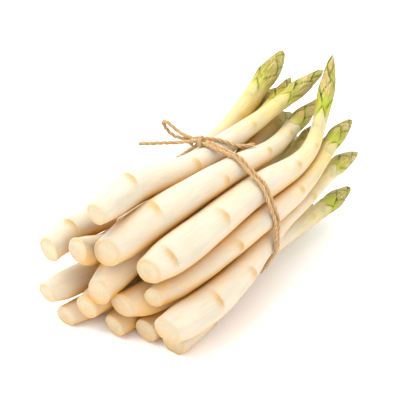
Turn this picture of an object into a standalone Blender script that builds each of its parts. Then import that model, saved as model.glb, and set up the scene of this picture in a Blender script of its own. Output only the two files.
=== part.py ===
"""A bundle of white asparagus with green heads, tied with jute twine and lying on its side.

X runs from the cut ends to the heads, Y to the left and Z up. Lengths are in millimetres
until a mesh is made from them, and angles round a spear are in degrees: 0 is its right
side, 90 its top.
"""
import math
import random

import bmesh
import bpy
import numpy as np
from mathutils import Vector

MM = 0.001
GAP = 0.3

# The spears. Each has a short name, the x of its cut end and of its tip, its (y, z) at the
# cut end, under the tie, at its shoulder and at its tip, its thickness at the cut, at its
# belly, under the tie and at the neck, the length of its head, and how full the head is.
SPEARS = (
    ("a", -98, 122, (13, 92), (0, 93), (-3, 98), (-10, 108), (12, 22, 16.8, 10.6), 41, 0.60),
    ("b", -97, 113, (4, 68), (-25, 91), (-15, 82), (-13, 89), (15.5, 23.5, 17, 11.2), 37, 0.60),
    ("c", -90, 119, (-11, 59), (-38, 77), (-37, 84), (-16, 124), (15.5, 23.5, 18.5, 9.6), 45, 0.70),
    ("d", -107, 122, (45, 58), (30, 60), (19, 94), (25, 114), (15, 19.5, 16.5, 13.6), 40, 0.95),
    ("e", -104, 112, (29, 62), (34, 44), (29, 72), (20, 89), (12, 18.5, 16.5, 13), 34, 0.60),
    ("f", -108, 98, (49, 20), (31, 27), (31, 35), (30, 38), (12, 19.5, 17.5, 14), 36, 0.60),
    ("g", -100, 112, (20, 38), (-3, 68), (6, 74), (8, 71), (14.5, 22, 17.5, 13), 38, 0.60),
    ("h", -105, 92, (38, 8), (13, 20), (19, 12), (18, 9), (12.5, 17, 17.5, 14), 34, 0.60),
    ("i", -102, 98, (28, 11), (8, 36), (14, 40), (12, 42), (14, 19.5, 17.5, 14), 35, 0.60),
    ("j", -95, 96, (8, 8), (-4, 15), (2, 10), (4, 9), (14, 19.5, 18, 14), 35, 0.60),
    ("k", -94, 118, (-6, 24), (-22, 53), (-20, 61), (-17, 72), (13, 21.5, 17, 14), 34, 0.50),
    ("l", -88, 117, (-17, 47), (-45, 61), (-43, 74), (-38, 79), (11, 17.5, 16.5, 10.8), 36, 0.65),
    ("m", -87, 101, (-5, 10), (-21, 18), (-20, 9), (-22, 8), (14.5, 19, 18, 14), 34, 0.60),
    ("n", -95, 118, (-34, 28), (-44, 44), (-45, 56), (-45, 53), (16, 23.5, 17, 10.8), 36, 0.65),
    ("o", -84, 117, (-26, 7), (-37, 30), (-40, 23), (-43, 22), (15.5, 19.5, 17.5, 11.5), 33, 0.75),
    ("p", -73, 115, (16, 71), (12, 73), (6.5, 87), (13, 98), (9, 10, 13, 11), 34, 0.40),
    ("q", -70, 112, (-8, 48), (-20, 37), (-20, 40), (-17, 42), (10, 12, 15, 14), 34, 0.50),
    ("r", -65, 112, (28, 42), (15, 48), (3, 53), (2, 53), (12, 14.5, 15.5, 17), 34, 0.60),
)
RESTING = "hjm"
CUT_X, TIP_X, CUT, WAIST, SHOULDER, TIP, THICK, HEAD, FULL = range(1, 10)
SHOULDER_AT = 0.55

# Scale leaves that show on the stems: (x, angle). The other stems take theirs by a rule.
SEEN_LEAVES = {
    "a": ((-68, 88), (-34, 8), (-20, 55), (40, 48), (72, 50)),
    "b": ((-60, 100), (-20, 18), (27, 50), (62, 40)),
    "c": ((-72, 70), (-36, 38), (36, 48), (60, 30)),
    "d": ((-86, 80), (-30, 30), (62, 40), (76, 90)),
    "l": ((-30, 8), (30, 60), (66, 20)),
    "n": ((-58, 60), (-32, 0), (48, 40), (72, 70)),
}
LEAF_LONG, LEAF_LIFT, LEAF_DROP = 8.5, 1.2, 0.8
LEAF_SPOTS = (0.16, 0.34, 0.52, 0.68)
LEAF_TURN = 137.5

# Stem section and head
SIDES = 12
STEM_STEP = 20
STEP_ANGLE = 360 / SIDES
FIRST_ANGLE = STEP_ANGLE / 2
LEAF_WIDE = 1.6 * STEP_ANGLE
FLAT_SHARE = math.cos(math.radians(FIRST_ANGLE))
RIM = 1.3
CUT_SLANT = 0.12
CUT_RINGS = ((0, RIM, 1), (RIM, 0, 1), (6, 0, 0.5), (12, 0, 0.2), (22, 0, 0))
BELLY_AT, TIE_AT = 0.07, 0.46
HEAD_ROWS = 6
HEAD_COVERED = 0.93
ROW_CLOSING = 0.82
SCALE_REACH = 0.40
SCALE_STEP = 1.2
TIP_CAP = 0.6
SHARP_ANGLE = 30

# How the spears lie against each other
KNOTS = 7
STATION = 5.0
PASSES = 900
CLEAR = 0.75
PUSH, HOLD, SETTLE = 1.4, 0.004, 0.03
FLAT_REACH = 0.5

# The tie
TIE_X = -7.0
TIE_CENTRE = (-6.0, 54.5)
TIE_INSIDE = 48.2
TIE_REACH = 7.0
TWINE = 2.6
TURN_SPACING = TWINE + GAP
TURN_POINTS = 56
SAG = 0.45
RING_SAMPLES = 72
KNOT_Y = 8.0
KNOT_SIZE = (4.6, 5.2, 3.4)
TAIL_STEP = 3.6

# Routes of the free ends and of the bow's loop, from the middle of the knot
LEFT_TAIL = ((0, 0, 0), (-5, 2, 1), (-11, 10, 0.2), (-19, 19, 0.4), (-27, 27, 1))
RIGHT_TAIL = ((0, 0, 0), (4, -3, 0.7), (10, -12, -1.4), (16, -18, -4.8), (19, -20.5, -6), (25, -26, -5.4))
BOW = (
    (0, 0, 0), (-2, 10, 1.6), (-3, 16, 4), (-4, 21, 7.3), (-4.3, 25.3, 8), (-4, 25.2, 5),
    (-3, 24.2, 2.3), (-2.3, 21.5, -0.6), (-2, 17, -1.9), (-1, 9, -1.5), (0, 0, 0),
)

CREAM = (0.86, 0.74, 0.55, 1)
JUTE = (0.50, 0.32, 0.14, 1)


def clear_scene():
    for thing in list(bpy.data.objects):
        bpy.data.objects.remove(thing, do_unlink=True)


def material(name, colour, roughness):
    made = bpy.data.materials.new(name)
    made.use_nodes = True
    shader = made.node_tree.nodes["Principled BSDF"]
    shader.inputs["Base Color"].default_value = colour
    shader.inputs["Roughness"].default_value = roughness
    shader.inputs["Metallic"].default_value = 0
    return made


def spline_weights(knots, places):
    """Rows of weights that read a natural cubic spline through the knots at the places."""
    count = len(knots)
    gaps = np.diff(knots)
    bend = np.eye(count)
    pull = np.zeros((count, count))
    for i in range(1, count - 1):
        bend[i, i - 1 : i + 2] = gaps[i - 1], 2 * (gaps[i - 1] + gaps[i]), gaps[i]
        pull[i, i - 1] = 6 / gaps[i - 1]
        pull[i, i + 1] = 6 / gaps[i]
        pull[i, i] = -pull[i, i - 1] - pull[i, i + 1]
    bends = np.linalg.solve(bend, pull)
    rows = np.zeros((len(places), count))
    for row, place in zip(rows, places):
        i = int(np.clip(np.searchsorted(knots, place) - 1, 0, count - 2))
        gap = gaps[i]
        near, far = (knots[i + 1] - place) / gap, (place - knots[i]) / gap
        row[i] += near
        row[i + 1] += far
        row += bends[i] * (near**3 - near) * gap**2 / 6
        row += bends[i + 1] * (far**3 - far) * gap**2 / 6
    return rows


class Spear:
    """One spear: the knots of its centre line, its thickness, and places along it."""

    def __init__(self, row):
        self.name = row[0]
        self.cut_x, self.tip_x = row[CUT_X], row[TIP_X]
        self.thick, self.head, self.full = row[THICK], row[HEAD], row[FULL]
        shoulder = SHOULDER_AT * self.tip_x
        marks = np.array([self.cut_x, TIE_X, shoulder, self.tip_x], float)
        self.knots = np.linspace(self.cut_x, self.tip_x, KNOTS)
        aims = np.array([row[CUT], row[WAIST], row[SHOULDER], row[TIP]], float)
        self.aim = spline_weights(marks, self.knots) @ aims
        self.line = self.aim.copy()
        self.rests = self.name in RESTING

    def sections(self, places):
        """(y, z) of the centre line at each x."""
        return spline_weights(self.knots, places) @ self.line

    def stem_radius(self, share):
        """Stem radius at a share of the way from the cut end to the tip."""
        neck = 1 - self.head / (self.tip_x - self.cut_x)
        marks = (0, BELLY_AT, TIE_AT, neck)
        for start, end, first, last in zip(marks, marks[1:], self.thick, self.thick[1:]):
            if share <= end:
                part = (share - start) / (end - start)
                ease = part * part * (3 - 2 * part)
                if start != BELLY_AT:
                    ease = math.sin(math.pi / 2 * part)
                return (first + (last - first) * ease) / 2
        return self.thick[-1] / 2

    def radius(self, share):
        """Outer radius with the head's scales, at a share of the way to the tip."""
        neck = 1 - self.head / (self.tip_x - self.cut_x)
        if share <= neck:
            return self.stem_radius(share)
        return head_radius(self, (share - neck) / (1 - neck)) + SCALE_STEP

    def measure(self):
        """Walks the finished centre line, for places by length along it."""
        self.places = np.linspace(self.cut_x, self.tip_x, 121)
        flat = self.sections(self.places)
        self.points = np.column_stack([self.places, flat])
        steps = np.linalg.norm(np.diff(self.points, axis=0), axis=1)
        self.along = np.concatenate([[0], np.cumsum(steps)])
        self.length = self.along[-1]
        self.tangents = np.gradient(self.points, self.along, axis=0)

    def at(self, along):
        """Centre, right and upward directions, and forward direction at a length.

        Before the cut end the centre line goes on straight.
        """
        centre = Vector([np.interp(along, self.along, self.points[:, i]) for i in range(3)])
        forward = Vector([np.interp(along, self.along, self.tangents[:, i]) for i in range(3)])
        forward.normalize()
        right = forward.cross(Vector((0, 0, 1))).normalized()
        return centre + forward * min(0, along), right, right.cross(forward), forward

    def length_at(self, x):
        return float(np.interp(x, self.places, self.along))


def head_radius(spear, share):
    """Radius of a head at a share of its length: a short swell, then a pointed bud."""
    neck = spear.thick[-1] / 2
    swell = 1 + 0.10 * math.sin(math.pi * min(1.0, share * 1.7))
    point = 1 + spear.full
    return neck * swell * max(0.0, 1 - share ** (1.35 * point)) ** (0.95 - 0.3 * spear.full)


def ease_apart(spears):
    """Moves the centre lines until no stems cross, held in by the tie and up by the ground.

    The lines bend as whole curves, because only the knots of each spline move. Two lines at
    one x are as far apart as they are square to their mean heading.
    """
    stations = np.arange(-110, 126, STATION)
    weights, slopers, solvers, radii, active = [], [], [], [], []
    for spear in spears:
        inside = (stations >= spear.cut_x) & (stations <= spear.tip_x)
        rows = spline_weights(spear.knots, stations)
        rows[~inside] = 0
        weights.append(rows)
        ahead, behind = (spline_weights(spear.knots, stations + step) for step in (0.5, -0.5))
        slopers.append(ahead - behind)
        solvers.append(np.linalg.pinv(rows))
        shares = (stations - spear.cut_x) / (spear.tip_x - spear.cut_x)
        radii.append([spear.radius(share) if ok else 0 for share, ok in zip(shares, inside)])
        active.append(inside)
    radii, active = np.array(radii), np.array(active)
    stems = np.maximum(radii, [[spear.thick[-1] / 2] for spear in spears])
    both = active[:, None] & active[None]
    both[np.arange(len(spears)), np.arange(len(spears))] = False
    room = radii[:, None] + radii[None] + CLEAR
    under_tie = np.abs(stations - TIE_X) <= TIE_REACH
    for _ in range(PASSES):
        middles = np.array([w @ s.line for w, s in zip(weights, spears)])
        apart = middles[:, None] - middles[None]
        far = np.linalg.norm(apart, axis=-1) + 1e-9
        slopes = np.array([w @ s.line for w, s in zip(slopers, spears)])
        heading = (slopes[:, None] + slopes[None]) / 2
        heading /= np.sqrt(1 + (heading**2).sum(axis=-1, keepdims=True))
        square = np.sqrt(np.maximum(0, far**2 - (apart * heading).sum(axis=-1) ** 2))
        short = np.where(both, np.maximum(0, room - square), 0)
        move = 0.5 * (apart / far[..., None] * short[..., None]).sum(axis=1)
        from_middle = middles - np.array(TIE_CENTRE)
        out = np.linalg.norm(from_middle, axis=-1) + 1e-9
        over = np.where(under_tie & active, np.maximum(0, out + radii - TIE_INSIDE), 0)
        move -= from_middle / out[..., None] * over[..., None]
        sunk = np.where(active, np.maximum(0, stems * FLAT_SHARE - middles[..., 1]), 0)
        move[..., 1] += sunk
        for spear, solver, shift in zip(spears, solvers, move):
            spear.line += PUSH * solver @ shift + HOLD * (spear.aim - spear.line)
            if spear.rests:
                spear.line[:, 1] -= SETTLE
    for spear in spears:
        spear.measure()


def free_angle(spear, spears, along, wanted):
    """The angle nearest the wanted one at which a scale leaf has room beside the other stems."""
    centre, right, up, _ = spear.at(along)
    radius = spear.stem_radius(along / spear.length)
    others = [other for other in spears if other is not spear]
    for turn in sorted(range(-6, 7), key=abs):
        angle = math.radians(wanted + turn * STEP_ANGLE)
        side = right * math.cos(angle) + up * math.sin(angle)
        spot = centre + side * (radius + LEAF_LIFT)
        if spot.z > LEAF_LIFT and all(clearance(other, spot) > GAP for other in others):
            return wanted + turn * STEP_ANGLE
    return None


def clearance(spear, spot):
    """Distance from a point to a spear's surface, at the point's own x."""
    if not spear.cut_x <= spot.x <= spear.tip_x:
        return float("inf")
    y = np.interp(spot.x, spear.places, spear.points[:, 1])
    z = np.interp(spot.x, spear.places, spear.points[:, 2])
    share = (spot.x - spear.cut_x) / (spear.tip_x - spear.cut_x)
    return math.hypot(spot.y - y, spot.z - z) - spear.radius(share)


def vertex_angles():
    return [FIRST_ANGLE + STEP_ANGLE * j for j in range(SIDES)]


def turned(first, second):
    """Difference of two angles, between -180 and 180 degrees."""
    return (first - second + 180) % 360 - 180


def ring(spear, along, radii, shifts):
    """Points round the spear, each at its own radius and its own shift along it."""
    points = []
    for angle, radius, shift in zip(vertex_angles(), radii, shifts):
        centre, right, up, _ = spear.at(along + shift)
        side = right * math.cos(math.radians(angle)) + up * math.sin(math.radians(angle))
        points.append(centre + side * radius)
    return points


def cut_rings(spear, leaves, draw):
    """The cut end and the swelling behind it, as (length along, ring) pairs.

    The knife goes nearly square across the whole bundle, so each face leans against its own
    stem as much as the stem leans in the bundle. A ring that a scale leaf covers is left out.
    """
    _, right, up, forward = spear.at(0)
    toward = math.radians(draw.uniform(0, 360))
    slant = draw.uniform(0, CUT_SLANT)
    tilts = []
    for angle in map(math.radians, vertex_angles()):
        side = right * math.cos(angle) + up * math.sin(angle)
        tilts.append(slant * math.cos(angle - toward) - side.x / forward.x)
    placed = []
    for along, inset, fade in CUT_RINGS:
        covered = any(-LEAF_LONG - 2 < along - leaf < LEAF_DROP + 2 for leaf, _ in leaves)
        if covered and fade < 1:
            continue
        radius = spear.stem_radius(along / spear.length) - inset
        shifts = [fade * radius * tilt for tilt in tilts]
        placed.append((along, ring(spear, along, [radius] * SIDES, shifts)))
    return placed


def plain_rings(spear, placed):
    """Rings in the long stretches between the others, so that the stem keeps its curve."""
    marks = sorted(along for along, _ in placed) + [spear.length - spear.head]
    plain = []
    for first, second in zip(marks, marks[1:]):
        count = math.ceil((second - first) / STEM_STEP)
        for i in range(1, count):
            along = first + (second - first) * i / count
            radii = [spear.stem_radius(along / spear.length)] * SIDES
            plain.append((along, ring(spear, along, radii, [0] * SIDES)))
    return plain


def leaf_spots(spear, spears, draw):
    """(length along the stem, angle) of each scale leaf on the stem, cut end first."""
    if spear.name in SEEN_LEAVES:
        wanted = [(spear.length_at(x), angle) for x, angle in SEEN_LEAVES[spear.name]]
    else:
        start = draw.uniform(0, 360)
        stem = spear.length - spear.head
        wanted = [
            (stem * (share + draw.uniform(-0.03, 0.03)) / 0.8, start + LEAF_TURN * i)
            for i, share in enumerate(LEAF_SPOTS)
        ]
    spots = []
    for along, angle in wanted:
        free = free_angle(spear, spears, along, angle)
        if free is not None:
            spots.append((along, free))
    return spots


def leaf_rings(spear, along, angle):
    """A scale leaf pressed to the stem: it rises from its base and ends in a small step."""
    rings = []
    for shift, lift in ((-LEAF_LONG, 0), (0, LEAF_LIFT), (LEAF_DROP, 0)):
        radius = spear.stem_radius((along + shift) / spear.length)
        shares = [max(0, 1 - abs(turned(a, angle)) / LEAF_WIDE) for a in vertex_angles()]
        radii = [radius + lift * share for share in shares]
        rings.append((along + shift, ring(spear, along + shift, radii, [0] * SIDES)))
    return rings


def head_rings(spear):
    """The head: rows of three scales, each row turned to cover the gaps of the one before."""
    start = spear.length - spear.head
    rings = [ring(spear, start, [spear.stem_radius(start / spear.length)] * SIDES, [0] * SIDES)]
    before = 0
    for row in range(HEAD_ROWS):
        edge = HEAD_COVERED * ((row + 1) / HEAD_ROWS) ** ROW_CLOSING
        reach = SCALE_REACH * (edge - before) * spear.head
        before = edge
        turn = 2 * (row % 2)
        pattern = [(1.0, 0.15, -1.0, 0.15)[(j - turn) % 4] for j in range(SIDES)]
        lifts = [(0.6, 1.0, 0.7, 1.0)[(j - turn) % 4] * SCALE_STEP for j in range(SIDES)]
        shifts = [reach * p for p in pattern]
        base = [head_radius(spear, edge + shift / spear.head) for shift in shifts]
        along = start + edge * spear.head
        small = 1 - 0.45 * row / HEAD_ROWS
        rings.append(ring(spear, along, [b + lift * small for b, lift in zip(base, lifts)], shifts))
        inner = [max(TIP_CAP, b - 0.35 * small) for b in base]
        rings.append(ring(spear, along + 0.3, inner, shifts))
    return rings


def loft(name, rings, tip):
    """A closed mesh through the rings, with a flat first end and a point at the last."""
    mesh = bmesh.new()
    rows = [[mesh.verts.new(point) for point in points] for points in rings]
    mesh.faces.new(rows[0])
    for first, second in zip(rows, rows[1:]):
        for j in range(SIDES):
            k = (j + 1) % SIDES
            mesh.faces.new((first[j], first[k], second[k], second[j]))
    top = mesh.verts.new(tip)
    for j in range(SIDES):
        mesh.faces.new((rows[-1][j], rows[-1][(j + 1) % SIDES], top))
    for vertex in mesh.verts:
        if vertex.co.z < FLAT_REACH:
            vertex.co.z = 0
    bmesh.ops.recalc_face_normals(mesh, faces=mesh.faces)
    return finish(name, mesh)


def finish(name, mesh):
    """Turns a bmesh in millimetres into an object in metres, shaded smooth but for its steps."""
    bmesh.ops.scale(mesh, vec=(MM, MM, MM), verts=mesh.verts)
    data = bpy.data.meshes.new(name)
    mesh.to_mesh(data)
    mesh.free()
    data.shade_smooth()
    data.set_sharp_from_angle(angle=math.radians(SHARP_ANGLE))
    made = bpy.data.objects.new(name, data)
    bpy.context.collection.objects.link(made)
    return made


def build_spear(spear, spears, look):
    draw = random.Random("spear " + spear.name)
    leaves = leaf_spots(spear, spears, draw)
    placed = cut_rings(spear, leaves, draw)
    for along, angle in leaves:
        placed += leaf_rings(spear, along, angle)
    placed += plain_rings(spear, placed)
    placed.sort(key=lambda pair: pair[0])
    rings = [points for _, points in placed] + head_rings(spear)
    tip = spear.at(spear.length)[0]
    made = loft("spear_" + spear.name, rings, tip)
    made.data.materials.append(look)
    return made


def hull_of(points):
    """Convex hull of (y, z) points, anticlockwise."""
    points = sorted(set(points))

    def chain(run):
        kept = []
        for p in run:
            while len(kept) > 1:
                a, b = kept[-2], kept[-1]
                if (b[0] - a[0]) * (p[1] - a[1]) - (b[1] - a[1]) * (p[0] - a[0]) > 0:
                    break
                kept.pop()
            kept.append(p)
        return kept[:-1]

    return chain(points) + chain(points[::-1])


def turn_route(spears, x):
    """One turn of the tie: the taut line round all the stems at this x, evenly stepped."""
    clear = TWINE / 2 + GAP + SAG
    points = []
    for spear in spears:
        behind, centre, ahead = spear.sections([x - 1, x, x + 1])
        slope = np.linalg.norm(ahead - behind) / 2
        radius = spear.stem_radius((x - spear.cut_x) / (spear.tip_x - spear.cut_x))
        radius = radius * math.hypot(1, slope) + clear
        for i in range(RING_SAMPLES):
            angle = 2 * math.pi * i / RING_SAMPLES
            points.append((centre[0] + radius * math.cos(angle), centre[1] + radius * math.sin(angle)))
    hull = np.array(hull_of(points))
    closed = np.vstack([hull, hull[:1]])
    along = np.concatenate([[0], np.cumsum(np.linalg.norm(np.diff(closed, axis=0), axis=1))])
    marks = np.linspace(0, along[-1], TURN_POINTS, endpoint=False)
    ys, zs = (np.interp(marks, along, closed[:, i]) for i in range(2))
    return [Vector((x, y, z)) for y, z in zip(ys, zs)]


def smooth_route(points, step):
    """Points at even steps along a smooth curve through the route's own points."""
    marks = np.array(points, float)
    spans = np.concatenate([[0], np.cumsum(np.linalg.norm(np.diff(marks, axis=0), axis=1))])
    count = max(4, round(spans[-1] / step))
    return [Vector(p) for p in spline_weights(spans, np.linspace(0, spans[-1], count + 1)) @ marks]


def kept_clear(points, spears):
    """The route with each point moved out until the twine clears the stems under it."""
    moved = []
    for point in points:
        for _ in range(8):
            near = min(spears, key=lambda spear: clearance(spear, point))
            short = TWINE / 2 + GAP + SAG - clearance(near, point)
            if short <= 0:
                break
            middle = near.sections([point.x])[0]
            out = Vector((0, point.y - middle[0], point.z - middle[1])).normalized()
            point = point + out * short
        moved.append(point)
    return moved


def twine_tube(name, points, closed):
    """A round tube of twine along the points, as a mesh object."""
    curve = bpy.data.curves.new(name, "CURVE")
    curve.dimensions = "3D"
    curve.bevel_depth = TWINE / 2 * MM
    curve.bevel_resolution = 2
    curve.use_fill_caps = not closed
    spline = curve.splines.new("POLY")
    spline.points.add(len(points) - 1)
    for spot, point in zip(spline.points, points):
        spot.co = (*(point * MM), 1)
    spline.use_cyclic_u = closed
    guide = bpy.data.objects.new(name + "_guide", curve)
    bpy.context.collection.objects.link(guide)
    bpy.context.view_layer.update()
    data = bpy.data.meshes.new_from_object(guide.evaluated_get(bpy.context.evaluated_depsgraph_get()))
    bpy.data.objects.remove(guide, do_unlink=True)
    bpy.data.curves.remove(curve)
    mesh = bmesh.new()
    mesh.from_mesh(data)
    bmesh.ops.remove_doubles(mesh, verts=mesh.verts, dist=1e-6)
    bmesh.ops.recalc_face_normals(mesh, faces=mesh.faces)
    mesh.to_mesh(data)
    mesh.free()
    made = bpy.data.objects.new(name, data)
    bpy.context.collection.objects.link(made)
    return made


def knot_lump(middle):
    """The knot's body, which the turns, the tails and the bow run into."""
    mesh = bmesh.new()
    bmesh.ops.create_icosphere(mesh, subdivisions=2, radius=1)
    bmesh.ops.scale(mesh, vec=KNOT_SIZE, verts=mesh.verts)
    bmesh.ops.translate(mesh, vec=middle, verts=mesh.verts)
    return finish("twine", mesh)


def build_twine(spears, look):
    """The whole piece of twine: two turns, the knot, the one loop of its bow and the two ends."""
    turns = [turn_route(spears, TIE_X + side * TURN_SPACING / 2) for side in (-1, 1)]
    upper = [point for point in turns[0] if point.z > TIE_CENTRE[1]]
    seat = min(upper, key=lambda point: abs(point.y - KNOT_Y))
    out = Vector((0, seat.y - TIE_CENTRE[0], seat.z - TIE_CENTRE[1])).normalized()
    middle = Vector((TIE_X, seat.y, seat.z)) + out * (KNOT_SIZE[2] - TWINE / 2)
    knot = knot_lump(middle)
    pieces = [twine_tube(f"turn_{i}", route, True) for i, route in enumerate(turns)]
    for name, route in (("left", LEFT_TAIL), ("right", RIGHT_TAIL), ("bow", BOW)):
        points = smooth_route([middle + Vector(step) for step in route], TAIL_STEP)
        pieces.append(twine_tube(name, kept_clear(points, spears), False))
    group = bpy.data.collections.new("twine_pieces")
    for piece in pieces:
        group.objects.link(piece)
    join = knot.modifiers.new("join", "BOOLEAN")
    join.operation = "UNION"
    join.operand_type = "COLLECTION"
    join.collection = group
    join.solver = "MANIFOLD"
    bpy.context.view_layer.update()
    data = bpy.data.meshes.new_from_object(knot.evaluated_get(bpy.context.evaluated_depsgraph_get()))
    knot.modifiers.clear()
    knot.data = data
    for piece in pieces:
        bpy.data.objects.remove(piece, do_unlink=True)
    bpy.data.collections.remove(group)
    data.materials.append(look)
    return knot


def stand_on_middle(objects):
    """Puts the origin at the middle of the underside of the bundle's box."""
    corners = [vertex.co for thing in objects for vertex in thing.data.vertices]
    lows = [min(corner[i] for corner in corners) for i in range(3)]
    highs = [max(corner[i] for corner in corners) for i in range(3)]
    middle = Vector(((lows[0] + highs[0]) / 2, (lows[1] + highs[1]) / 2, lows[2]))
    for thing in objects:
        for vertex in thing.data.vertices:
            vertex.co -= middle


def build():
    clear_scene()
    cream = material("white_asparagus", CREAM, 0.45)
    jute = material("jute_twine", JUTE, 0.9)
    spears = [Spear(row) for row in SPEARS]
    ease_apart(spears)
    objects = [build_spear(spear, spears, cream) for spear in spears]
    objects.append(build_twine(spears, jute))
    stand_on_middle(objects)


build()
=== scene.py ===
import math
import random

import bpy
import numpy as np
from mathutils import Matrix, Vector


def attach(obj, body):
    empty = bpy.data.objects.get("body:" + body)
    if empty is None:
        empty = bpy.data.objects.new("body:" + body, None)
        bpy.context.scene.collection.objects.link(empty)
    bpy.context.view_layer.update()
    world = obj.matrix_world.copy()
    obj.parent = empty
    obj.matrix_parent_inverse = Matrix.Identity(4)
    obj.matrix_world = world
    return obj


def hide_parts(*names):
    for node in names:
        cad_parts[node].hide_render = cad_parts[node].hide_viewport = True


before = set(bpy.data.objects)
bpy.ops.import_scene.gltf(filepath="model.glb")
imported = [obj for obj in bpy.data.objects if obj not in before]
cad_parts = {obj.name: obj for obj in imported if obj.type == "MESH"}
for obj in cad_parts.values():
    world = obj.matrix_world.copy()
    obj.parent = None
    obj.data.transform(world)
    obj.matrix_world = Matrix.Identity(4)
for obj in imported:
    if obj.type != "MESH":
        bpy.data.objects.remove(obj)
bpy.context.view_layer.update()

MM = 0.001

# The stems
# Each spear is one shoot of white asparagus: a round stem, swollen behind its cut end, with
# flat scale leaves pressed to it. A knife cut it nearly square, so the flesh shows there.
# Its line, its thickness and the places of its leaves are those of the spear's own solid.

SIDES = 72
PLAIN_STEP = 1.6 * MM
LEAF_STEP = 0.35 * MM
RIM = 0.7 * MM
CUT_SPREAD = 0.7 * MM
CUT_FADE = 22 * MM
STATION = 3 * MM
DOZEN_SIDED = 24 * math.sin(math.pi / 12) / (2 * math.pi)


def smoothed(values, passes=1):
    """The rows of values, each eased towards its neighbours. The first and last stay."""
    values = np.array(values, float)
    for _ in range(passes):
        inner = 0.25 * values[:-2] + 0.5 * values[1:-1] + 0.25 * values[2:]
        values[1:-1] = inner
    return values


def eased(share):
    share = np.clip(share, 0, 1)
    return share * share * (3 - 2 * share)


def cut_across(corners, triangles, x):
    """Middle (y, z) and outline length of a solid where a plane square to X cuts it."""
    reach = corners[triangles, 0]
    middle, outline = np.zeros(2), 0.0
    for triangle in triangles[(reach.min(axis=1) < x) & (reach.max(axis=1) > x)]:
        points = []
        for first, second in zip(corners[triangle], corners[np.roll(triangle, 1)]):
            if (first[0] - x) * (second[0] - x) < 0:
                points.append(first + (second - first) * (x - first[0]) / (second[0] - first[0]))
        if len(points) == 2:
            length = np.linalg.norm(points[0] - points[1])
            middle += (points[0] + points[1])[1:] / 2 * length
            outline += length
    return middle / outline, outline


class Stem:
    """The line of a spear from its cut end to its tip, and its radius along it."""

    def __init__(self, node, head):
        self.name, self.head = node.name, head
        mesh = node.data
        mesh.calc_loop_triangles()
        corners = np.array([vertex.co for vertex in mesh.vertices])
        triangles = np.array([triangle.vertices for triangle in mesh.loop_triangles])
        self.find_cut(corners, triangles)
        self.find_line(corners, triangles)
        self.find_leaves(corners)

    def find_cut(self, corners, triangles):
        """The middle of the cut face and the way that it faces."""
        first, second, third = (corners[triangles[:, i]] for i in range(3))
        spans = np.cross(second - first, third - first)
        sizes = np.linalg.norm(spans, axis=1) + 1e-15
        facings = spans / sizes[:, None]
        middles = (first + second + third) / 3
        near = (middles[:, 0] < corners[:, 0].min() + 8 * MM) & (facings[:, 0] < -0.8)
        widest = np.argmax(np.where(near, sizes, 0))
        face = near & (facings @ facings[widest] > 0.9995)
        self.cut_middle = (middles[face] * sizes[face, None]).sum(axis=0) / sizes[face].sum()
        self.cut_facing = facings[widest]
        self.cut_end = corners[triangles[face]].reshape(-1, 3)[:, 0].max()

    def find_line(self, corners, triangles):
        tip = corners[corners[:, 0].argmax()]
        stations = np.arange(self.cut_end + 2.3 * MM, tip[0] - 1.5 * MM, STATION)
        cuts = [cut_across(corners, triangles, x) for x in stations]
        middles = np.column_stack([stations, [middle for middle, _ in cuts]])
        rough = smoothed(np.vstack([self.cut_middle, middles, tip]), 6)
        steps = np.linalg.norm(np.diff(rough, axis=0), axis=1)
        rough_along = np.concatenate([[0], np.cumsum(steps)])
        self.length = rough_along[-1]
        self.along = np.linspace(0, self.length, 240)
        line = [np.interp(self.along, rough_along, rough[:, i]) for i in range(3)]
        self.points = smoothed(np.column_stack(line), 12)
        self.forwards = np.gradient(self.points, self.along, axis=0)
        self.forwards /= np.linalg.norm(self.forwards, axis=1, keepdims=True)
        lean = np.interp(rough_along[1:-1], self.along, self.forwards[:, 0])
        outlines = np.array([outline for _, outline in cuts])
        radii = outlines / (2 * math.pi) * 2 / (1 + 1 / lean) / DOZEN_SIDED
        radii = smoothed(radii, 3)
        first = radii[0] - (radii[1] - radii[0]) * rough_along[1] / (rough_along[2] - rough_along[1])
        radii = np.concatenate([[first], radii, [0]])
        self.radii = smoothed(np.interp(self.along, rough_along, radii), 2)

    def find_leaves(self, corners):
        """(length along the stem, angle) of each scale leaf that stands out of the solid."""
        nearest = np.abs(corners[:, None, 0] - self.points[None, :, 0]).argmin(axis=1)
        centre, right, up, _ = self.at(self.along[nearest])
        from_line = corners - centre
        across, above = (from_line * right).sum(axis=1), (from_line * up).sum(axis=1)
        proud = np.hypot(across, above) - self.radii[nearest]
        along, neck = self.along[nearest], self.length - self.head
        found = []
        for i in np.flatnonzero((proud > 0.6 * MM) & (along > 12 * MM) & (along < neck - 2 * MM)):
            found.append((along[i], math.degrees(math.atan2(above[i], across[i]))))
        self.leaves = []
        for spot, angle in sorted(found):
            if not self.leaves or spot - self.leaves[-1][0] > 6 * MM:
                self.leaves.append((spot, angle))

    def at(self, along):
        """Centres, right and upward directions, and forward directions at lengths."""
        along = np.asarray(along, float)
        centre = np.stack([np.interp(along, self.along, self.points[:, i]) for i in range(3)], -1)
        forward = np.stack([np.interp(along, self.along, self.forwards[:, i]) for i in range(3)], -1)
        forward /= np.linalg.norm(forward, axis=-1, keepdims=True)
        right = np.cross(forward, (0, 0, 1.0))
        right /= np.linalg.norm(right, axis=-1, keepdims=True)
        return centre, right, np.cross(right, forward), forward

    def radius(self, along):
        return np.interp(along, self.along, self.radii)

    def place(self, along, angle, radius, shift=0.0):
        """Points at lengths, angles in degrees, radii and shifts along the stem."""
        centre, right, up, forward = self.at(along)
        turn = np.radians(angle)[..., None]
        side = right * np.cos(turn) + up * np.sin(turn)
        return centre + side * np.asarray(radius)[..., None] + forward * np.asarray(shift)[..., None]


def angle_between(first, second):
    return (first - second + 180) % 360 - 180


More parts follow.
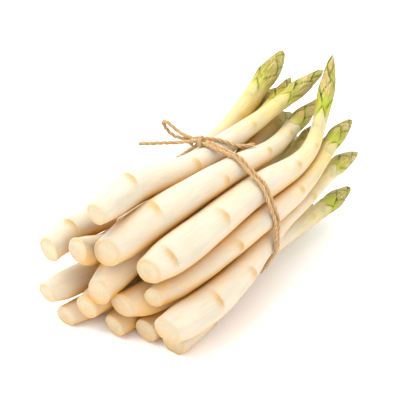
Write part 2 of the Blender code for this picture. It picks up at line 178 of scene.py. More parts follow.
def leaf_relief(stem, along, angle, tones):
    """Height of the scale leaves over the stem. Each one rises from its base to a free edge,
    where it ends in a small step. Marks in tones where the leaf is dry and where buds sit."""
    height = np.zeros(np.broadcast(along, angle).shape)
    for spot, middle in stem.leaves:
        high = spot / (stem.length - stem.head)
        wide = 100 if high < 0.3 else 58 - 16 * high
        long = (13 - 5 * high) * MM
        lift = (0.30 + 0.35 * high) * MM
        across = np.abs(angle_between(angle, middle)) / wide
        edge = spot - 0.30 * long * across**1.7
        behind = (edge - along) / long
        held = eased(1.15 * (1 - across))
        rise = np.where(behind > 0, eased(1 - behind) ** 1.5, eased(1 + behind * long / (0.5 * MM)))
        height += lift * rise * held
        bud = np.exp(-((along - spot + 2.2 * MM) / (2.6 * MM)) ** 2)
        bud = bud * np.exp(-(angle_between(angle, middle) / 20) ** 2)
        height += 0.45 * MM * high * bud
        past = behind * long
        dry = np.where(behind > 0, np.exp(-((past / (4.6 * MM)) ** 2)), np.exp(past / (0.7 * MM)))
        tones["scar"] += dry * np.exp(-((across * wide / (42 - 14 * high)) ** 2)) * (1.0 - 0.3 * high)
        tones["bud"] += bud * high
    return height


def stem_surface(stem, core_under_head):
    """Grid of points from the middle of the cut face to the tip, with its tones."""
    draw = random.Random(stem.name)
    marks = [np.arange(0, 6 * MM, 0.5 * MM), np.arange(0, stem.length - 0.4 * MM, PLAIN_STEP)]
    for spot, _ in stem.leaves:
        marks.append(np.arange(spot - 5 * MM, spot + 1.4 * MM, LEAF_STEP))
    rows = np.unique(np.round(np.concatenate(marks), 5))
    rows = rows[np.concatenate([[True], np.diff(rows) > 0.15 * MM])]
    angles = np.arange(SIDES) * 360.0 / SIDES
    along, angle = np.broadcast_arrays(rows[:, None], angles[None])
    tones = {name: np.zeros(along.shape) for name in ("scar", "bud")}
    radius = np.maximum(stem.radius(along) - core_under_head(stem, along), 0.05 * MM)
    uneven = np.zeros(along.shape)
    for waves in (2, 3, 5):
        turn = draw.uniform(-60, 60) * along / (100 * MM) + draw.uniform(0, 360)
        uneven += draw.uniform(0.006, 0.013) * np.sin(np.radians(waves * (angle + turn)))
    for _ in range(3):
        length, start = draw.uniform(18, 60) * MM, draw.uniform(0, 6)
        uneven += draw.uniform(0.004, 0.010) * np.sin(2 * math.pi * along / length + start)
    stem_share = eased((stem.length - stem.head - along) / (8 * MM))
    radius = radius * (1 + uneven * stem_share)
    radius += leaf_relief(stem, along, angle, tones)
    radius += CUT_SPREAD * np.exp(-((along / (5 * MM)) ** 2))
    inset = RIM * 0.55 * (1 - np.sqrt(np.clip(1 - (1 - along / RIM) ** 2, 0, 1))) * (along < RIM)
    tilt = cut_tilt(stem, angles)
    shift = np.clip(1 - along / CUT_FADE, 0, 1) ** 2 * radius * tilt
    points = stem.place(along, angle, radius - inset, shift)
    cut, cut_tones, cut_grid = cut_face(stem, angles, tilt, radius[0] - inset[0], draw)
    points = np.vstack([cut, points])
    for name in tones:
        tones[name] = np.vstack([cut_tones[name], tones[name]])
    tones["cut"] = np.vstack([cut_tones["cut"], np.exp(-along / (0.5 * MM))])
    tones["ring"] = np.vstack([cut_tones["ring"], 0.4 * np.exp(-along / (1.2 * MM))])
    places = np.vstack([cut_grid, np.stack([along, angle, radius], axis=-1)])
    return points, tones, places


def cut_tilt(stem, angles):
    """How far the cut plane leads or trails the square section, for each mm of radius."""
    _, right, up, forward = (part[0] for part in stem.at([0.0]))
    facing = stem.cut_facing
    side = np.cos(np.radians(angles))[:, None] * right + np.sin(np.radians(angles))[:, None] * up
    return -(side @ facing) / (forward @ facing)


def cut_face(stem, angles, tilt, rim, draw):
    """The cut flesh, from the middle out to the rim: a little sunken, with rough fibres."""
    shares = np.array([0.04, 0.2, 0.38, 0.55, 0.7, 0.82, 0.92, 0.98])
    share, angle = np.broadcast_arrays(shares[:, None], angles[None])
    radius = share * rim
    rough = np.array([[draw.uniform(-1, 1) for _ in angles] for _ in shares])
    sunken = 0.28 * MM * (1 - share**3) + 0.05 * MM * rough * share * (1 - share**6)
    points = stem.place(np.zeros(share.shape), angle, radius, radius * tilt + sunken)
    none = np.zeros(share.shape)
    ring = 0.50 * eased((share - 0.62) / 0.30) * eased((1.06 - share) / 0.12)
    tones = {"scar": none, "bud": none, "cut": 1 - 0.6 * share**8, "ring": ring}
    return points, tones, np.stack([none - 0.001, angle, radius], axis=-1)


# The heads
# A spear's head is its bud: scale leaves lie over each other like tiles, each with its foot
# on the shoot and its point towards the tip. They are thin, with green or violet edges.

SCALES = 15
SCALE_TURN = 137.5
SCALE_THICK = 0.32 * MM
SCALE_PROUD = 0.95 * MM

# Length of each head in millimetres, how green it is, how rosy, how bright a green its neck
# has, and the angle of its lowest scale in degrees.
HEADS = {
    "spear_a": (41, 0.85, 0.35, 0.45, 60),
    "spear_b": (37, 0.50, 0.95, 0.45, 20),
    "spear_c": (45, 0.72, 0.35, 1.00, 95),
    "spear_d": (40, 0.85, 0.35, 0.35, 100),
    "spear_e": (34, 0.90, 0.35, 0.10, 0),
    "spear_f": (36, 0.75, 0.30, 0.50, 40),
    "spear_g": (26, 0.85, 0.05, 0.90, 10),
    "spear_h": (34, 0.70, 0.45, 0.30, 150),
    "spear_i": (35, 0.80, 0.30, 0.40, 200),
    "spear_j": (35, 0.60, 0.60, 0.50, 30),
    "spear_k": (34, 0.90, 0.25, 0.30, 70),
    "spear_l": (36, 0.80, 0.35, 0.90, 35),
    "spear_m": (34, 0.75, 0.30, 0.60, 110),
    "spear_n": (36, 0.65, 0.60, 0.75, 65),
    "spear_o": (33, 0.80, 0.40, 1.00, 20),
    "spear_p": (34, 1.00, 0.05, 0.20, 80),
    "spear_q": (34, 0.85, 0.35, 0.60, 50),
    "spear_r": (34, 0.75, 0.40, 0.70, 120),
}


def core_under_head(stem, along):
    """How far the shoot under the scales lies below the solid's own surface."""
    return SCALE_PROUD * eased((along - stem.length + 1.2 * stem.head) / (0.4 * stem.head))


def scale_width(share):
    """Width of a scale leaf at a share of its length: broad at the foot, pointed at the tip."""
    return np.maximum(0.02, (1 - np.clip(share, 0, 1) ** 1.7) * (0.75 + 0.25 * eased(share * 2.5)))


def seam_shadows_and_green(along, angle, radius, lower):
    """Painted shadow just outside the edges of the lower scales, towards their tips: how dark the skin
    is painted there, and how fresh a green it is next to that."""
    dark, fresh = np.zeros(along.shape), np.zeros(along.shape)
    for foot, long, middle, half in lower:
        share = (along - foot) / long
        side = np.abs(angle_between(angle, middle)) - half * scale_width(share)
        outside = np.radians(side) * radius
        beyond = np.maximum(along - foot - long, 0)
        away = np.hypot(np.maximum(outside, 0), beyond)
        there = eased((share - 0.30) / 0.30) * (away > 0) * (share < 1.35)
        dark = np.maximum(dark, np.exp(-((away / (0.95 * MM)) ** 2)) * there)
        fresh = np.maximum(fresh, np.exp(-((away / (2.6 * MM)) ** 2)) * there)
    return dark, fresh


def scale(stem, foot, long, middle, half, proud):
    """Outer and inner grids of one scale leaf, with its places and how far along and across
    the leaf they lie."""
    along_steps = np.sin(np.linspace(0, math.pi / 2, 22))
    across_steps = np.sin(np.linspace(-math.pi / 2, math.pi / 2, 19))
    share, across = np.meshgrid(along_steps, across_steps, indexing="ij")
    angle = middle + across * half * scale_width(share)
    along = foot + long * share - 0.10 * long * across**2 * (1 - share)
    along = np.minimum(along, stem.length - 0.15 * MM)
    rise = 0.12 * MM + proud * share**0.75 - 0.30 * MM * share**7
    rise = rise - 0.22 * MM * np.abs(across) ** 3
    core = stem.radius(along) - core_under_head(stem, along)
    radius = np.maximum(core + rise, 0.30 * MM)
    outer = stem.place(along, angle, radius)
    inner = stem.place(along, angle, np.maximum(radius - SCALE_THICK, 0.05 * MM))
    return outer, inner, np.stack([along, angle, radius], axis=-1), share, across


def head_scales(stem, first_angle, draw):
    """The scales of one head, lowest first: foot, length, middle angle and half width."""
    neck = stem.length - stem.head
    rows = []
    for number in range(SCALES):
        share = number / (SCALES - 1)
        foot = neck + stem.head * (-0.36 + 1.02 * share**0.95)
        long = stem.head * (0.34 + 0.16 * math.sin(math.pi * share**0.8)) * draw.uniform(0.92, 1.06)
        long = min(long, stem.length - foot)
        middle = first_angle + SCALE_TURN * number + draw.uniform(-8, 8)
        rows.append((foot, long, middle, 56 + 32 * share))
    return rows


def green_along(stem, along, greenness):
    """White in the earth, green in the light: how green the spear is along its length."""
    past_neck = (along - stem.length + stem.head) / stem.head
    return greenness * (0.32 * eased((past_neck + 2.6) / 2.4) + 0.68 * eased((past_neck + 0.22) / 0.42))


def lime_along(stem, along):
    """Where the neck is brightest: just before and just past the foot of the head."""
    past_neck = (along - stem.length + stem.head) / stem.head
    return np.exp(-(((past_neck - 0.04) / 0.17) ** 2))


def painted_warm_shade(points, angle, own):
    """Painted shade and bounced light: how golden the flesh is painted, most where other spears or the
    table crowd round it, and some on its underside. In the open it stays near 0."""
    closest = points[..., 2] * 1.4
    crowd = 0.6 * np.exp(-closest / (9 * MM))
    for other in stems:
        if other is not own:
            line_x = other.points[:, 0]
            across = points[..., 1] - np.interp(points[..., 0], line_x, other.points[:, 1])
            above = points[..., 2] - np.interp(points[..., 0], line_x, other.points[:, 2])
            thick = np.interp(points[..., 0], line_x, other.radii)
            beyond = np.abs(points[..., 0] - np.clip(points[..., 0], line_x[0], line_x[-1]))
            gap = np.maximum(np.hypot(np.hypot(across, above) - thick, beyond), 0)
            closest = np.minimum(closest, gap)
            crowd = crowd + np.exp(-gap / (9 * MM))
    under = eased((0.35 - np.sin(np.radians(angle))) / 1.3)
    held = 0.22 * np.maximum(crowd - 0.25, 0) + 0.30 * np.exp(-closest / (3 * MM))
    return np.clip(held + 0.30 * under, 0, 1.2)


class Skin:
    """Collects the grids of one spear as one mesh with its tones."""

    TONES = ("green", "rosy", "lime", "warm", "scar", "bud", "cut", "ring", "edge", "seam", "tile")

    def __init__(self):
        self.points, self.faces, self.grain = [], [], []
        self.tones = {name: [] for name in self.TONES}
        self.count = 0

    def add(self, points, places, tones, seed):
        """Adds points as rows and columns. Grain follows the fibres, in millimetres."""
        first = self.count
        flat = points.reshape(-1, 3)
        self.points.append(flat)
        along, angle, radius = (places[..., i].ravel() for i in range(3))
        around = np.radians(angle)
        round_place = np.stack([radius * np.cos(around), radius * np.sin(around), along], axis=-1)
        self.grain.append(round_place / MM + 40.0 * seed)
        for name in self.TONES:
            self.tones[name].append(np.broadcast_to(tones.get(name, 0.0), points.shape[:-1]).ravel())
        self.count += len(flat)
        return first + np.arange(len(flat)).reshape(points.shape[:-1])

    def cover(self, grid, closed):
        """Quads over a grid of point numbers, whose columns close on themselves or not."""
        ahead = np.roll(grid, -1, axis=1)
        if not closed:
            grid, ahead = grid[:, :-1], ahead[:, :-1]
        quads = np.stack([grid[:-1], ahead[:-1], ahead[1:], grid[1:]], axis=-1)
        self.faces += quads.reshape(-1, 4).tolist()

    def mesh(self, name):
        made = bpy.data.meshes.new(name)
        made.from_pydata(np.vstack(self.points).tolist(), [], self.faces)
        for tone, values in self.tones.items():
            layer = made.attributes.new(tone, "FLOAT", "POINT")
            layer.data.foreach_set("value", np.concatenate(values).astype(np.float32))
        layer = made.attributes.new("grain", "FLOAT_VECTOR", "POINT")
        layer.data.foreach_set("vector", np.vstack(self.grain).astype(np.float32).ravel())
        made.shade_smooth()
        made.set_sharp_from_angle(angle=math.radians(55))
        return made


def add_shoot(skin, stem, rows, greenness, rosiness, limeness, seed):
    points, tones, places = stem_surface(stem, core_under_head)
    points[..., 2] = np.maximum(points[..., 2], 0)
    along = places[..., 0]
    tones["green"] = green_along(stem, along, greenness)
    tones["lime"] = limeness * lime_along(stem, along)
    # painted golden shade where spears crowd and on the underside
    tones["warm"] = painted_warm_shade(points, places[..., 1], stem)
    tones["rosy"] = rosiness
    # Painted shade on the shoot under the scales, rising over 8 mm from the neck.
    tones["tile"] = eased((along - stem.length + stem.head) / (8 * MM))
    # painted shadow beside the edges of the lower scales, and fresh green next to it
    tones["seam"], fresh = seam_shadows_and_green(along, places[..., 1], places[..., 2], rows)
    tones["lime"] = tones["lime"] + 0.5 * fresh
    grid = skin.add(points, places, tones, seed)
    skin.cover(grid, True)
    skin.faces.append(grid[0, ::-1].tolist())
    skin.faces.append(grid[-1].tolist())


def cover_leaf(skin, outer, inner, places, tones, seed):
    """Adds the two sides of a leaf to the skin and closes them along its edges."""
    front = skin.add(outer, places, tones, seed)
    # the back of each scale gets full painted shade
    back = skin.add(inner, places, {**tones, "tile": 1.0}, seed)
    skin.cover(front, False)
    skin.cover(back[:, ::-1], False)
    for a, b in ((front[0], back[0]), (front[::-1, 0], back[::-1, 0])):
        skin.cover(np.stack([b, a]), False)
    for a, b in ((front[-1], back[-1]), (front[::-1, -1], back[::-1, -1])):
        skin.cover(np.stack([a, b]), False)


def add_scales(skin, stem, rows, greenness, rosiness, limeness, seed):
    draw = random.Random("head " + stem.name)
    for number, row in enumerate(rows):
        proud = SCALE_PROUD * (1 - 0.3 * number / SCALES)
        outer, inner, places, share, across = scale(stem, *row, proud)
        for side in (outer, inner):
            side[..., 2] = np.maximum(side[..., 2], 0)
        along, angle, radius = (places[..., i] for i in range(3))
        edge_reach = np.minimum(1 - np.abs(across), (1 - share) * 2)
        # painted shadow beside the edges of the lower scales, and fresh green next to it
        dark, fresh = seam_shadows_and_green(along, angle, radius, rows[:number])
        lime = limeness * lime_along(stem, along) * draw.uniform(0.5, 1.1)
        tones = {
            "green": green_along(stem, along, greenness),
            "lime": lime + fresh * draw.uniform(0.2, 0.8),
            # painted golden shade where spears crowd and on the underside
            "warm": painted_warm_shade(outer, angle, stem),
            "rosy": rosiness * draw.uniform(0.7, 1.3),
            "edge": np.exp(-((edge_reach / 0.10) ** 2)) * eased(share * 3),
            "seam": dark,
        }
        cover_leaf(skin, outer, inner, places, tones, seed + draw.uniform(0, 1))


def paint(hex_colour):
    """A colour from its usual six digits, as the shader wants it."""
    parts = [int(hex_colour[i : i + 2], 16) / 255 for i in (1, 3, 5)]
    return (*(p / 12.92 if p <= 0.04045 else ((p + 0.055) / 1.055) ** 2.4 for p in parts), 1)


class Finish:
    """A material put together node by node."""

    def __init__(self, name):
        self.material = bpy.data.materials.new(name)
        self.material.use_nodes = True
        self.tree = self.material.node_tree
        self.shader = self.tree.nodes["Principled BSDF"]

    def put(self, socket, value):
        if hasattr(value, "is_output"):
            self.tree.links.new(value, socket)
        else:
            socket.default_value = value

    def attribute(self, name):
        node = self.tree.nodes.new("ShaderNodeAttribute")
        node.attribute_name = name
        return node.outputs["Vector"] if name == "grain" else node.outputs["Fac"]

    def stretched(self, vector, factors):
        node = self.tree.nodes.new("ShaderNodeVectorMath")
        node.operation = "MULTIPLY"
        self.put(node.inputs[0], vector)
        node.inputs[1].default_value = factors
        return node.outputs[0]

    def noise(self, vector, per_mm, detail=2.0, rough=0.5):
        node = self.tree.nodes.new("ShaderNodeTexNoise")
        self.put(node.inputs["Vector"], vector)
        node.inputs["Scale"].default_value = per_mm
        node.inputs["Detail"].default_value = detail
        node.inputs["Roughness"].default_value = rough
        return node.outputs["Fac"]

    def between(self, value, low, high):
        """The value's place between low and high, eased and kept from 0 to 1."""
        node = self.tree.nodes.new("ShaderNodeMapRange")
        node.interpolation_type = "SMOOTHSTEP"
        self.put(node.inputs["Value"], value)
        node.inputs["From Min"].default_value = low
        node.inputs["From Max"].default_value = high
        return node.outputs["Result"]

    def sum(self, kind, first, second):
        node = self.tree.nodes.new("ShaderNodeMath")
        node.operation = kind
        self.put(node.inputs[0], first)
        self.put(node.inputs[1], second)
        return node.outputs[0]

    def blend(self, amount, first, second, kind="MIX"):
        node = self.tree.nodes.new("ShaderNodeMix")
        node.data_type = "RGBA"
        node.blend_type = kind
        self.put(node.inputs[0], amount)
        self.put(node.inputs[6], first)
        self.put(node.inputs[7], second)
        return node.outputs[2]

    def ramp(self, value, stops):
        node = self.tree.nodes.new("ShaderNodeValToRGB")
        self.put(node.inputs["Fac"], value)
        marks = node.color_ramp.elements
        while len(marks) < len(stops):
            marks.new(0.5)
        for mark, (place, colour) in zip(marks, stops):
            mark.position = place
            mark.color = colour
        return node.outputs["Color"]

    def bump(self, height, depth, under=None):
        node = self.tree.nodes.new("ShaderNodeBump")
        self.put(node.inputs["Height"], height)
        node.inputs["Distance"].default_value = depth
        if under is not None:
            self.put(node.inputs["Normal"], under)
        return node.outputs["Normal"]


def asparagus_skin():
    """Waxy cream skin with fine fibres, tan scars, pale cut flesh, and a green and rosy head, with
    painted golden shade where spears crowd, painted dark shade under the scales and painted shadow
    beside their edges.
    """
    skin = Finish("asparagus_skin")
    grain = skin.attribute("grain")
    fibre = skin.noise(skin.stretched(grain, (1, 1, 0.05)), 1.6, 3)
    streak = skin.noise(skin.stretched(grain, (1, 1, 0.10)), 0.75, 2)
    cloud = skin.noise(skin.stretched(grain, (1, 1, 0.50)), 0.14, 2)
    speck = skin.noise(grain, 1.3, 2)
    greener = skin.sum("MULTIPLY", skin.between(streak, 0.2, 0.8), 0.10)
    green = skin.sum("ADD", skin.attribute("green"), greener)
    leafed = skin.between(green, 0.35, 0.65)
    # Painted shade: the flesh is painted golden, then brown, where spears crowd and on undersides, made
    # uneven by the cloud noise.
    uneven_warm_shade = skin.sum("MULTIPLY", skin.between(cloud, 0.2, 0.8), 0.15)
    warm = skin.sum("ADD", skin.attribute("warm"), uneven_warm_shade)
    flesh = skin.blend(skin.between(streak, 0.35, 0.75), paint("#D3CDC1"), paint("#D1C8B4"))
    flesh = skin.blend(skin.between(warm, 0.04, 0.75), flesh, paint("#D8A03A"))
    flesh = skin.blend(skin.between(warm, 0.70, 1.30), flesh, paint("#AC6A16"))
    scar = skin.sum("MULTIPLY", skin.attribute("scar"), skin.between(speck, 0.0, 0.55))
    flesh = skin.blend(skin.between(scar, 0.0, 1.25), flesh, paint("#C4973F"))
    bud = skin.between(skin.attribute("bud"), 0.1, 1.1)
    flesh = skin.blend(bud, flesh, paint("#BFA23A"))
    leafy = skin.ramp(green, (
        (0.08, paint("#D2C5A2")),
        (0.30, paint("#D0BF7C")),
        (0.52, paint("#BCB14A")),
        (0.74, paint("#A89B3A")),
        (1.00, paint("#8A7F2C")),
    ))
    golden = skin.sum("MULTIPLY", skin.between(streak, 0.50, 0.62), leafed)
    leafy = skin.blend(skin.sum("MULTIPLY", golden, 0.65), leafy, paint("#7F7722"))
    pale = skin.sum("MULTIPLY", skin.between(fibre, 0.50, 0.64), leafed)
    leafy = skin.blend(skin.sum("MULTIPLY", pale, 0.70), leafy, paint("#D8D094"))
    rosy = skin.sum("MULTIPLY", skin.attribute("rosy"), skin.between(cloud, 0.35, 0.60))
    leafy = skin.blend(skin.sum("MULTIPLY", rosy, leafed), leafy, paint("#B99A80"))
    limed = skin.sum("MULTIPLY", skin.attribute("lime"), skin.between(streak, 0.25, 0.55))
    leafy = skin.blend(skin.sum("MULTIPLY", limed, 0.85), leafy, paint("#A2B12C"))
    # Painted shade on the head: golden where spears crowd and on undersides.
    warm_leaf_shade = skin.sum("MULTIPLY", skin.between(warm, 0.15, 0.9), 0.85)
    leafy = skin.blend(warm_leaf_shade, leafy, paint("#D6B040"))
    colour = skin.blend(skin.between(green, 0.05, 0.40), flesh, leafy)
    # Painted shade: dark olive on the shoot under the scales and on the backs of the scales.
    deep_shade = skin.sum("MULTIPLY", skin.attribute("tile"), skin.between(green, 0.30, 0.60))
    colour = skin.blend(skin.sum("MULTIPLY", deep_shade, 0.85), colour, paint("#46500A"))
    edge = skin.sum("MULTIPLY", skin.attribute("edge"), skin.between(green, 0.20, 0.45))
    colour = skin.blend(skin.sum("MULTIPLY", edge, 0.60), colour, paint("#8EA022"))
    # Painted shadow: near-black olive just outside the edges of the lower scales, near their tips.
    seam = skin.sum("MULTIPLY", skin.attribute("seam"), skin.between(green, 0.18, 0.45))
    colour = skin.blend(skin.sum("MULTIPLY", seam, 0.97), colour, paint("#2C3A00"))
    dots = skin.noise(grain, 1.6, 1)
    pith = skin.blend(skin.between(dots, 0.45, 0.85), paint("#CEC3AC"), paint("#C6AE80"))
    # Painted shade on the cut face: golden where spears crowd.
    pith = skin.blend(skin.sum("MULTIPLY", skin.between(warm, 0.10, 0.9), 0.55), pith, paint("#D3A765"))
    colour = skin.blend(skin.attribute("cut"), colour, pith)
    ring = skin.sum("MULTIPLY", skin.attribute("ring"), skin.between(cloud, 0.30, 0.62))
    colour = skin.blend(ring, colour, paint("#C39C58"))
    mottle = skin.ramp(cloud, ((0.30, paint("#E6E2DA")), (0.70, paint("#F4F1EC"))))
    skin.put(skin.shader.inputs["Base Color"], skin.blend(1.0, colour, mottle, "MULTIPLY"))
    skin.put(skin.shader.inputs["Roughness"], skin.between(fibre, -0.9, 1.7))
    white = skin.between(green, 0.55, 0.20)
    skin.put(skin.shader.inputs["Subsurface Weight"], skin.sum("MULTIPLY", white, 0.55))
    skin.shader.inputs["Subsurface Radius"].default_value = (0.9, 0.62, 0.28)
    skin.shader.inputs["Subsurface Scale"].default_value = 3.0 * MM
    skin.shader.inputs["Specular IOR Level"].default_value = 0.20
    ribs = skin.bump(fibre, 0.10 * MM)
    skin.put(skin.shader.inputs["Normal"], skin.bump(streak, 0.12 * MM, ribs))
    return skin.material


skin_look = asparagus_skin()
stems = [Stem(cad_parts[name], row[0] * MM) for name, row in HEADS.items()]
for seed, stem in enumerate(stems):
    _, greenness, rosiness, limeness, first_angle = HEADS[stem.name]
    rows = head_scales(stem, first_angle, random.Random("scales " + stem.name))
    skin = Skin()
    add_shoot(skin, stem, rows, greenness, rosiness, limeness, seed)
    add_scales(skin, stem, rows, greenness, rosiness, limeness, seed)
    shoot = bpy.data.objects.new(stem.name + "_shoot", skin.mesh(stem.name + "_shoot"))
    bpy.context.collection.objects.link(shoot)
    shoot.data.materials.append(skin_look)
    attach(shoot, "root")
    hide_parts(stem.name)

# The twine
# One length of three-ply jute goes twice round the stems and is tied on top in a knot with
# one loop of a bow. The plies are twisted, and short hairs stand out of them all over.

TWINE = 2.6 * MM
PLY = 0.70 * MM
LAY = 13 * MM
TWINE_STEP = 0.5 * MM
TIE_X = -13.8 * MM
TURN_APART = 2.9 * MM
TURN_LIFT = 1.95 * MM
KNOT = Vector((-13.8, 5.95, 102.80)) * MM
TIE_MIDDLE = Vector((-13.8, -6.69, 54.5)) * MM
LEFT_END = ((0, 0, 0), (-5, 2, 1), (-11, 10, 0.2), (-19, 19, 0.4), (-27, 27, 1))
RIGHT_END = (
    (0, 0, 0), (4, -3, 0.7), (10, -12, -1.4), (16, -18, -4.8), (19, -20.5, -6), (25, -26, -5.4),
)
BOW = (
    (0, 0, 0), (-2, 10, 1.6), (-3, 16, 4), (-4, 21, 7.3), (-4.3, 25.3, 8), (-4, 25.2, 5),
    (-3, 24.2, 2.3), (-2.3, 21.5, -0.6), (-2, 17, -1.9), (-1, 9, -1.5), (0, 0, 0),
)


def even_steps(points, step, closed=False):
    """Points at even steps along a line of points."""
    points = np.asarray(points, float)
    if closed:
        points = np.vstack([points, points[:1]])
    along = np.concatenate([[0], np.cumsum(np.linalg.norm(np.diff(points, axis=0), axis=1))])
    count = max(4, round(along[-1] / step))
    marks = np.linspace(0, along[-1], count + 1)
    even = np.column_stack([np.interp(marks, along, points[:, i]) for i in range(3)])
    return even[:-1] if closed else even


def rounded_route(points, step):
    """A smooth line through given points, at even steps."""
    points = np.asarray(points, float)
    padded = np.vstack([2 * points[0] - points[1], points, 2 * points[-1] - points[-2]])
    line = []
    for i in range(1, len(padded) - 2):
        before, first, second, after = padded[i - 1 : i + 3]
        for t in np.linspace(0, 1, 12, endpoint=False):
            bend = (
                2 * first + (second - before) * t
                + (2 * before - 5 * first + 4 * second - after) * t**2
                + (3 * first - before - 3 * second + after) * t**3
            )
            line.append(bend / 2)
    return even_steps(np.vstack([line, points[-1:]]), step)


def taut_round(x):
    """One turn of twine: the tightest line round all the stems at this x."""
    outline = []
    for stem in stems:
        if not stem.points[0, 0] < x < stem.points[-1, 0]:
            continue
        along = float(np.interp(x, stem.points[:, 0], stem.along))
        centre, _, _, forward = stem.at(along)
        radius = stem.radius(along) / forward[0] + TURN_LIFT
        for turn in np.linspace(0, 2 * math.pi, 96, endpoint=False):
            outline.append((centre[1] + radius * math.cos(turn), centre[2] + radius * math.sin(turn)))
    hull = []
    for run in (sorted(outline), sorted(outline, reverse=True)):
        kept = []
        for p in run:
            while len(kept) > 1:
                a, b = kept[-2], kept[-1]
                if (b[0] - a[0]) * (p[1] - a[1]) - (b[1] - a[1]) * (p[0] - a[0]) > 0:
                    break
                kept.pop()
            kept.append(p)
        hull += kept[:-1]
    return even_steps([(x, y, z) for y, z in hull], TWINE_STEP, closed=True)


def lifted_off(points):
    """The route with each point moved out until the twine lies on the stems, not in them."""
    points = np.array(points)
    for i, point in enumerate(points):
        for stem in stems:
            if not stem.points[0, 0] < point[0] < stem.points[-1, 0]:
                continue
            along = float(np.interp(point[0], stem.points[:, 0], stem.along))
            centre, _, _, forward = stem.at(along)
            away = point - centre
            away -= forward * (away @ forward)
            gap = np.linalg.norm(away)
            short = stem.radius(along) + TWINE / 2 + 0.35 * MM - gap
            if short > 0:
                points[i] += away / gap * short
    return smoothed(points, 8)


def twisted_plies(points, closed=False, across=None):
    """Rings of three plies twisted round a route: an array of ply, step, side, place."""
    count = len(points)
    ahead = np.roll(points, -1, axis=0) - np.roll(points, 1, axis=0)
    if not closed:
        ahead[0], ahead[-1] = points[1] - points[0], points[-1] - points[-2]
    ahead /= np.linalg.norm(ahead, axis=1, keepdims=True)
    first = np.zeros((count, 3))
    if across is not None:
        first[:] = across
    else:
        side = np.cross(ahead[0], (0.3, 0.2, 1.0))
        for i in range(count):
            side = side - ahead[i] * (side @ ahead[i])
            side /= np.linalg.norm(side)
            first[i] = side
    second = np.cross(ahead, first)
    step = np.linalg.norm(points[1] - points[0])
    turns = count * step / LAY
    if closed:
        turns = round(turns)
    plies = []
    for ply in range(3):
        turn = 2 * math.pi * (turns * np.arange(count) / count + ply / 3)
        reach = TWINE / 2 - PLY * 0.93
        middle = points + reach * (np.cos(turn)[:, None] * first + np.sin(turn)[:, None] * second)
        around = turn[:, None] * 0.5 + np.arange(8)[None] * math.pi / 4
        ring = np.cos(around)[..., None] * first[:, None] + np.sin(around)[..., None] * second[:, None]
        plies.append(middle[:, None] + PLY * ring)
    return np.array(plies), step


def laid_plies(routes):
    """One mesh of twine along several routes: each is points, closed or not, and a side."""
    points, faces, grain = [], [], []
    for number, (route, closed, across) in enumerate(routes):
        plies, step = twisted_plies(route, closed, across)
        for ply, rings in enumerate(plies):
            first = len(points)
            rows = len(rings)
            for i in range(rows if closed else rows - 1):
                k = (i + 1) % rows
                for j in range(8):
                    m = (j + 1) % 8
                    near, far = first + i * 8, first + k * 8
                    faces.append((near + j, near + m, far + m, far + j))
            if not closed:
                faces.append(tuple(first + j for j in range(8))[::-1])
                faces.append(tuple(first + (rows - 1) * 8 + j for j in range(8)))
            points += rings.reshape(-1, 3).tolist()
            for i in range(rows):
                for j in range(8):
                    turn = j * math.pi / 4
                    lengthwise = i * step / MM + 37 * ply + 211 * number
                    grain.append((math.cos(turn), math.sin(turn), lengthwise))
    return points, faces, grain


def hairs(routes, per_mm, draw):
    """Short bent hairs that stand out of the twine, each a thin three-sided thread."""
    points, faces, grain = [], [], []
    for route in routes:
        length = len(route) * np.linalg.norm(route[1] - route[0])
        for _ in range(int(per_mm * length / MM)):
            i = draw.randrange(1, len(route) - 1)
            ahead = Vector(route[i + 1] - route[i - 1]).normalized()
            out = ahead.cross(Vector([draw.gauss(0, 1) for _ in range(3)])).normalized()
            spot = Vector(route[i]) + out * (TWINE / 2 - 0.1 * MM)
            heading = (out * draw.uniform(0.2, 1.0) + ahead * draw.choice((-1, 1))).normalized()
            bend = Vector([draw.gauss(0, 0.35) for _ in range(3)])
            long, thick = draw.uniform(1.2, 3.4) * MM, draw.uniform(0.035, 0.06) * MM
            first = len(points)
            for k in range(5):
                share = k / 4
                middle = spot + heading * long * share + bend * long * share**2
                side = heading.orthogonal().normalized()
                for m in range(3):
                    corner = math.radians(120 * m)
                    off = side * math.cos(corner) + heading.cross(side) * math.sin(corner)
                    place = middle + off * thick * (1.05 - share)
                    points.append((place.x, place.y, max(place.z, 0.0001)))
                    grain.append((0, 0, draw.uniform(0, 500)))
            for k in range(4):
                for m in range(3):
                    n = (m + 1) % 3
                    near, far = first + k * 3, first + k * 3 + 3
                    faces.append((near + m, near + n, far + n, far + m))
            faces.append((first + 2, first + 1, first))
            faces.append((first + 12, first + 13, first + 14))
    return points, faces, grain


def jute():
    """Dull golden fibres in lighter and darker streaks, with duller patches."""
    look = Finish("jute")
    grain = look.attribute("grain")
    fibre = look.noise(look.stretched(grain, (1.4, 1.4, 0.12)), 2.2, 3, 0.6)
    patch = look.noise(look.stretched(grain, (0.3, 0.3, 0.16)), 1.0, 2)
    colour = look.blend(look.between(fibre, 0.38, 0.60), paint("#80532A"), paint("#D3B27B"))
    colour = look.blend(look.between(patch, 0.45, 0.75), colour, paint("#B88F5A"))
    look.put(look.shader.inputs["Base Color"], colour)
    look.shader.inputs["Roughness"].default_value = 0.85
    look.shader.inputs["Sheen Weight"].default_value = 0.25
    look.shader.inputs["Subsurface Weight"].default_value = 0.1
    look.shader.inputs["Subsurface Scale"].default_value = 0.8 * MM
    look.put(look.shader.inputs["Normal"], look.bump(fibre, 0.25 * MM))
    return look.material


jute_look = jute()


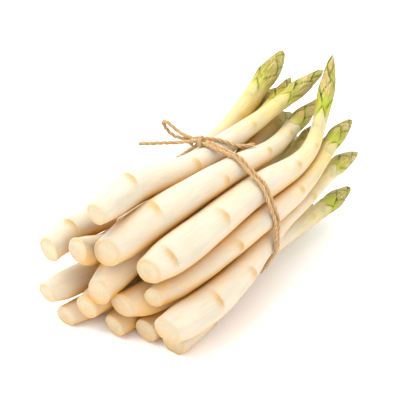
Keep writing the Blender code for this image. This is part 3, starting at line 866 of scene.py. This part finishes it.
def make_twine(name, points, faces, grain):
    mesh = bpy.data.meshes.new(name)
    mesh.from_pydata(points, [], faces)
    layer = mesh.attributes.new("grain", "FLOAT_VECTOR", "POINT")
    layer.data.foreach_set("vector", np.array(grain, np.float32).ravel())
    mesh.shade_smooth()
    mesh.materials.append(jute_look)
    made = bpy.data.objects.new(name, mesh)
    bpy.context.collection.objects.link(made)
    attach(made, "root")
    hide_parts("twine")
    return made


def knot_wraps():
    """Two short bights over the turns, which hold the ends and the bow."""
    out = (KNOT - TIE_MIDDLE).normalized()
    along_band = Vector((1, 0, 0)).cross(out)
    wraps = []
    for offset, slant in ((-1.5, 0.55), (1.4, -0.5)):
        middle = KNOT - out * 0.6 * MM + along_band * offset * MM
        arc = []
        for turn in np.linspace(math.radians(-35), math.radians(215), 26):
            across, above = 4.0 * MM * math.cos(turn), 2.3 * MM * math.sin(turn)
            spot = middle + Vector((1, 0, 0)) * across + out * above + along_band * slant * across
            arc.append(spot)
        wraps.append((even_steps(arc, TWINE_STEP), False, None))
    return wraps


draw = random.Random("twine")
side_x = Vector((1, 0, 0))
turn_routes = [(taut_round(TIE_X + side * TURN_APART / 2), True, side_x) for side in (-1, 1)]
make_twine("twine_turns", *laid_plies(turn_routes + knot_wraps()))
hairy_routes = [route for route, _, _ in turn_routes]

for name, steps, far_end in (
    ("twine_left_end", LEFT_END, "bare"),
    ("twine_right_end", RIGHT_END, "bare"),
    ("twine_bow", BOW, "object"),
):
    route = rounded_route([KNOT + Vector(step) * MM for step in steps], TWINE_STEP)
    route = lifted_off(route)
    hairy_routes.append(route)
    piece = make_twine(name, *laid_plies([(route, False, None)]))
    length = float(np.linalg.norm(np.diff(route, axis=0), axis=1).sum())
make_twine("twine_hairs", *hairs(hairy_routes, 0.5, draw))

# The floor, the lights and the camera
# The bundle lies on a plain white table under one large soft lamp, above it and a little to
# its left, with white walls all round. The camera looks along the stems from the cut ends.

FLOOR_SIZE = 12.0
CAMERA_TARGET = Vector((1.2, 16.31, 45.0)) * MM
CAMERA_DISTANCE = 600 * MM
CAMERA_ABOVE = 34.0
CAMERA_HEADING = 53.3
PHOTO_SIDE = 400
FOCAL_PIXELS = 871.0

floor_mesh = bpy.data.meshes.new("floor")
half = FLOOR_SIZE / 2
corners = [(-half, -half, 0), (half, -half, 0), (half, half, 0), (-half, half, 0)]
floor_mesh.from_pydata(corners, [], [(0, 1, 2, 3)])
floor = bpy.data.objects.new("floor", floor_mesh)
bpy.context.collection.objects.link(floor)
white = Finish("white_table")
white.shader.inputs["Base Color"].default_value = (0.97, 0.97, 0.97, 1)
white.shader.inputs["Roughness"].default_value = 0.6
floor_mesh.materials.append(white.material)

scene = bpy.context.scene
scene.view_settings.view_transform = "Standard"
world = bpy.data.worlds.new("white_room")
world.use_nodes = True
world.node_tree.nodes["Background"].inputs["Color"].default_value = (1, 1, 1, 1)
world.node_tree.nodes["Background"].inputs["Strength"].default_value = 1.62
scene.world = world


def soft_lamp(name, toward, distance, size, power):
    light = bpy.data.lights.new(name, "AREA")
    light.size = size
    light.energy = power
    lamp = bpy.data.objects.new(name, light)
    lamp.location = CAMERA_TARGET + Vector(toward).normalized() * distance
    lamp.rotation_euler = Vector(toward).to_track_quat("Z", "Y").to_euler()
    bpy.context.collection.objects.link(lamp)


soft_lamp("upper_lamp", (-0.15, 0.34, 0.93), 1.2, 1.0, 12)

camera = bpy.data.objects.new("camera", bpy.data.cameras.new("camera"))
camera.data.sensor_width = 36
camera.data.lens = FOCAL_PIXELS / PHOTO_SIDE * camera.data.sensor_width
rise, heading = math.radians(CAMERA_ABOVE), math.radians(CAMERA_HEADING)
look_along = Vector((
    math.cos(rise) * math.sin(heading),
    math.cos(rise) * math.cos(heading),
    -math.sin(rise),
))
camera.location = CAMERA_TARGET - look_along * CAMERA_DISTANCE
camera.rotation_euler = look_along.to_track_quat("-Z", "Y").to_euler()
camera.data.clip_start = 0.01
bpy.context.collection.objects.link(camera)
scene.camera = camera
